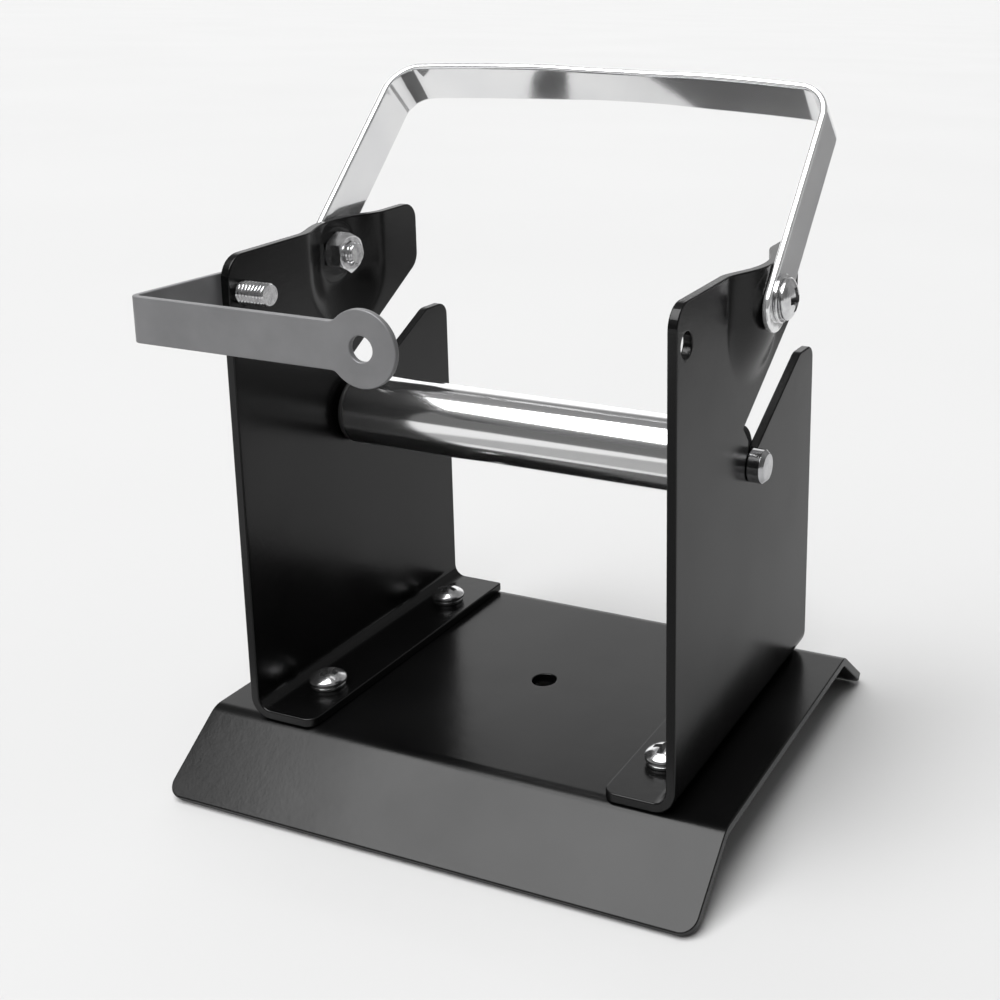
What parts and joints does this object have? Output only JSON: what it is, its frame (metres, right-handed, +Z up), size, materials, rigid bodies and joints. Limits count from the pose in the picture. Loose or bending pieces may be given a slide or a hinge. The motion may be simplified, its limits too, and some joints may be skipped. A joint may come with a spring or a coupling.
{
  "type": "spool holder stand",
  "caption": "Desk stand for a wire spool: black bent-steel base and side plates, lift-out chrome roller, swing handle and wire guide arm with an eye.",
  "frame": {"origin": "on the desk plane, straight under the centre hole of the base", "axes": "+X to the right side plate along the roller, +Y to the back, +Z up"},
  "size_m": [0.1212, 0.1128, 0.1511],
  "materials": {
    "black_coat": "semi-gloss black powder coat",
    "chrome_strap": "bright plated",
    "chrome_tube": "bright plated with fine lengthwise marks",
    "satin_steel": "satin grey",
    "axle_steel": "turned and plated",
    "black_plug": "matt black",
    "zinc_screw": "bright zinc"
  },
  "bodies": {
    "stand": {"base_plate": "black_coat", "side_plate_left": "black_coat", "side_plate_right": "black_coat", "base_screw_fl": "zinc_screw", "base_screw_fr": "zinc_screw", "base_screw_rl": "zinc_screw", "base_screw_rr": "zinc_screw", "base_washer_fl": "zinc_screw", "base_washer_fr": "zinc_screw", "base_washer_rl": "zinc_screw", "base_washer_rr": "zinc_screw", "base_nut_fl": "zinc_screw", "base_nut_fr": "zinc_screw", "base_nut_rl": "zinc_screw", "base_nut_rr": "zinc_screw", "handle_screw_left": "zinc_screw", "handle_screw_right": "zinc_screw", "handle_washer_left": "zinc_screw", "handle_washer_right": "zinc_screw", "handle_nut_left": "zinc_screw", "handle_nut_right": "zinc_screw", "guide_screw": "zinc_screw"},
    "handle": {"handle": "chrome_strap"},
    "guide": {"guide_arm": "satin_steel"},
    "axle": {"axle_rod": "axle_steel"},
    "roller": {"roller_tube": "chrome_tube", "roller_cap_left": "black_plug", "roller_cap_right": "black_plug"}
  },
  "joints": [
    {"name": "handle_swing", "type": "hinge", "parent": "stand", "child": "handle", "pos_m": [0, 0, 0.1094], "axis": [1, 0, 0], "range_deg": [-47, 103]},
    {"name": "guide_swivel", "type": "hinge", "parent": "stand", "child": "guide", "pos_m": [-0.05065, -0.0333, 0.1071], "axis": [1, 0, 0], "range_deg": [-20, 30]},
    {"name": "roller_lift", "type": "hinge", "parent": "stand", "child": "axle", "pos_m": [0, 0.0256, 0.0689], "axis": [-1, 0, 0], "range_deg": [0, 170]},
    {"name": "roller_spin", "type": "hinge", "parent": "axle", "child": "roller", "pos_m": [0, 0, 0.0734], "axis": [1, 0, 0], "continuous": true}
  ]
}
